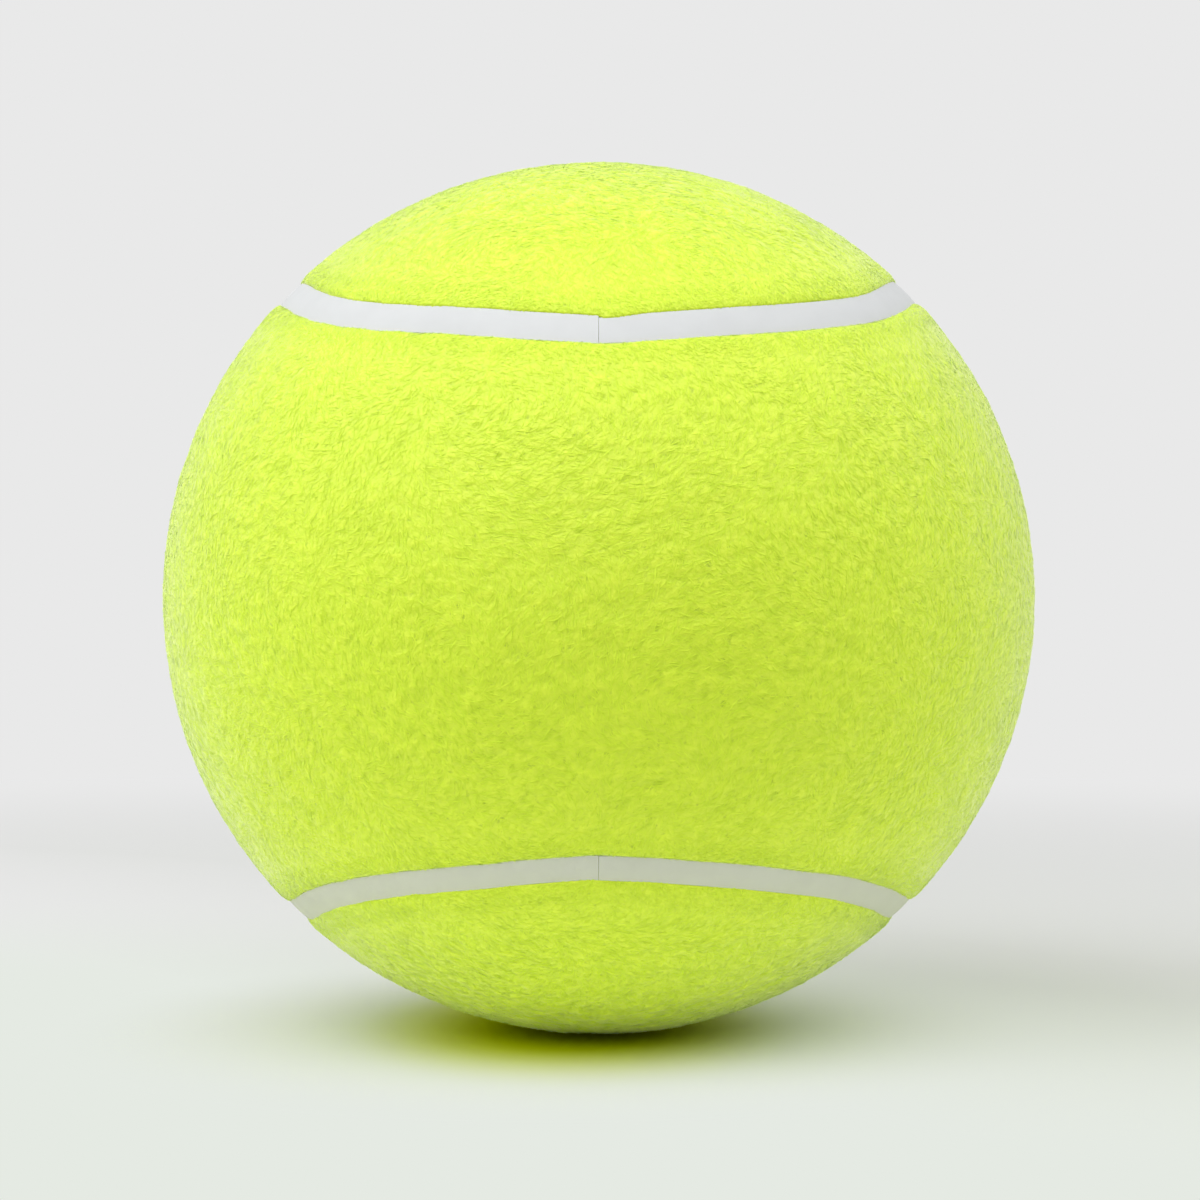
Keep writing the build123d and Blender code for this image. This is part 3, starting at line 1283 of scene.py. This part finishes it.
        # Painted colour bleed: the felt's light on the paper by the contact, also in the light
        # that the paper throws back
        wide = add_node(
            tree,
            "ShaderNodeVectorMath",
            {0: place, 1: self.painted_bleed_shape, 2: self.painted_bleed_shift},
            operation="MULTIPLY_ADD",
        )
        away = add_node(tree, "ShaderNodeVectorMath", {0: wide}, operation="LENGTH")
        close = add_node(
            tree,
            "ShaderNodeMapRange",
            {"Value": away.outputs["Value"], "From Min": self.painted_bleed_to, "From Max": self.painted_bleed_from},
            interpolation_type="SMOOTHSTEP",
        )
        painted_bleed_paper = add_node(
            tree,
            "ShaderNodeMix",
            {0: close, 6: own.outputs[2], 7: linear(self.painted_bleed)},
            data_type="RGBA",
            blend_type="MULTIPLY",
        )
        shade = add_node(
            tree, "ShaderNodeVectorMath", {0: painted_bleed_paper.outputs[2], "Scale": level}, operation="SCALE"
        )
        paper = add_node(tree, "ShaderNodeBsdfDiffuse", {"Color": shade})

        # The backdrop's plain colour, with a painted green reflection of the felt close in front of the ball
        behind = add_node(
            tree,
            "ShaderNodeMapRange",
            {"Value": axes.outputs["Y"], "From Min": self.painted_green_to, "From Max": self.painted_green_from},
            interpolation_type="SMOOTHSTEP",
        )
        neutral = add_node(tree, "ShaderNodeMath", {0: behind, 1: fades[1]}, operation="MAXIMUM")
        pale = add_node(
            tree,
            "ShaderNodeMix",
            {0: neutral, 6: linear(self.front), 7: linear(self.backdrop)},
            data_type="RGBA",
        )
        plain = add_node(tree, "ShaderNodeEmission", {"Color": pale.outputs[2], "Strength": level})
        mix = add_node(tree, "ShaderNodeMixShader", {0: shown, 1: paper, 2: plain})
        add_node(tree, "ShaderNodeOutputMaterial", {"Surface": mix})
        return material

    def floor(self) -> bpy.types.Object:
        """Lays the floor under the ball.

        Returns:
            The floor.
        """
        half = self.floor_half
        mesh = bpy.data.meshes.new("studio_floor")
        corners = [(x * half, y * half, self.floor_height) for x, y in ((-1, -1), (1, -1), (1, 1), (-1, 1))]
        mesh.from_pydata(corners, [], [(0, 1, 2, 3)])
        mesh.materials.append(self.paper_material())
        floor = bpy.data.objects.new("studio_floor", mesh)
        bpy.context.scene.collection.objects.link(floor)
        return floor

    def world(self) -> None:
        """Fills in from all round, less from behind the camera, and shows the camera the plain backdrop."""
        world = bpy.data.worlds.new("studio")
        world.use_nodes = True
        tree = world.node_tree
        tree.nodes.clear()
        path = add_node(tree, "ShaderNodeLightPath")
        direct, glossy = path.outputs["Is Camera Ray"], path.outputs["Is Glossy Ray"]
        seen = add_node(tree, "ShaderNodeMath", {0: direct, 1: glossy}, operation="MAXIMUM").outputs[0]
        clear = path.outputs["Is Transmission Ray"]
        through = add_node(tree, "ShaderNodeMath", {0: seen, 1: clear}, operation="MAXIMUM")
        way = add_node(tree, "ShaderNodeTexCoord").outputs["Generated"]
        facing = add_node(tree, "ShaderNodeVectorMath", {0: way, 1: self.wall_way}, operation="DOT_PRODUCT")
        level = add_node(
            tree,
            "ShaderNodeMapRange",
            {
                "Value": facing.outputs["Value"],
                "From Min": self.wall_dark,
                "From Max": self.wall_light,
                "To Min": self.room,
            },
            interpolation_type="SMOOTHSTEP",
        ).outputs["Result"]
        filled = add_node(tree, "ShaderNodeMath", {0: level, 1: self.fill}, operation="MULTIPLY")
        shown = add_node(tree, "ShaderNodeMath", {0: level, 1: direct}, operation="MAXIMUM")
        soft = add_node(tree, "ShaderNodeBackground", {"Color": (1, 1, 1, 1), "Strength": filled})
        plain = add_node(tree, "ShaderNodeBackground", {"Color": linear(self.backdrop), "Strength": shown})
        mix = add_node(tree, "ShaderNodeMixShader", {0: through, 1: soft, 2: plain})
        add_node(tree, "ShaderNodeOutputWorld", {"Surface": mix})
        bpy.context.scene.world = world

    def camera(self) -> bpy.types.Object:
        """Sets the camera level with the ball's middle.

        Returns:
            The camera.
        """
        data = bpy.data.cameras.new("camera")
        data.lens = self.lens
        data.sensor_width = 36.0
        data.clip_start = 0.01
        camera = bpy.data.objects.new("camera", data)
        camera.location = self.camera_place
        camera.rotation_euler = (pi / 2, 0, 0)
        bpy.context.scene.collection.objects.link(camera)
        bpy.context.scene.camera = camera
        return camera

    def build(self) -> None:
        """Sets up the floor, the light and the camera."""
        self.floor()
        self.world()
        for softbox in self.softboxes:
            softbox.hang()
        self.camera()
        bpy.context.scene.view_settings.view_transform = "Standard"


def main() -> None:
    """Builds the ball's visible pieces, dresses the core, and sets up the studio."""
    logging.basicConfig(level=logging.INFO, format="%(name)s %(message)s")
    seam = Seam()
    felt = BrushedFelt().material()
    fibre = NapFibre().material()
    tape = RUBBER_TAPE.material()
    for side in PanelSide:
        FeltPanel(side, seam).build(felt, fibre)
    for hand in StripHand:
        SeamStrip(hand, seam).build(tape)
    Core().dress()
    Studio().build()


if __name__ == "__main__":
    main()
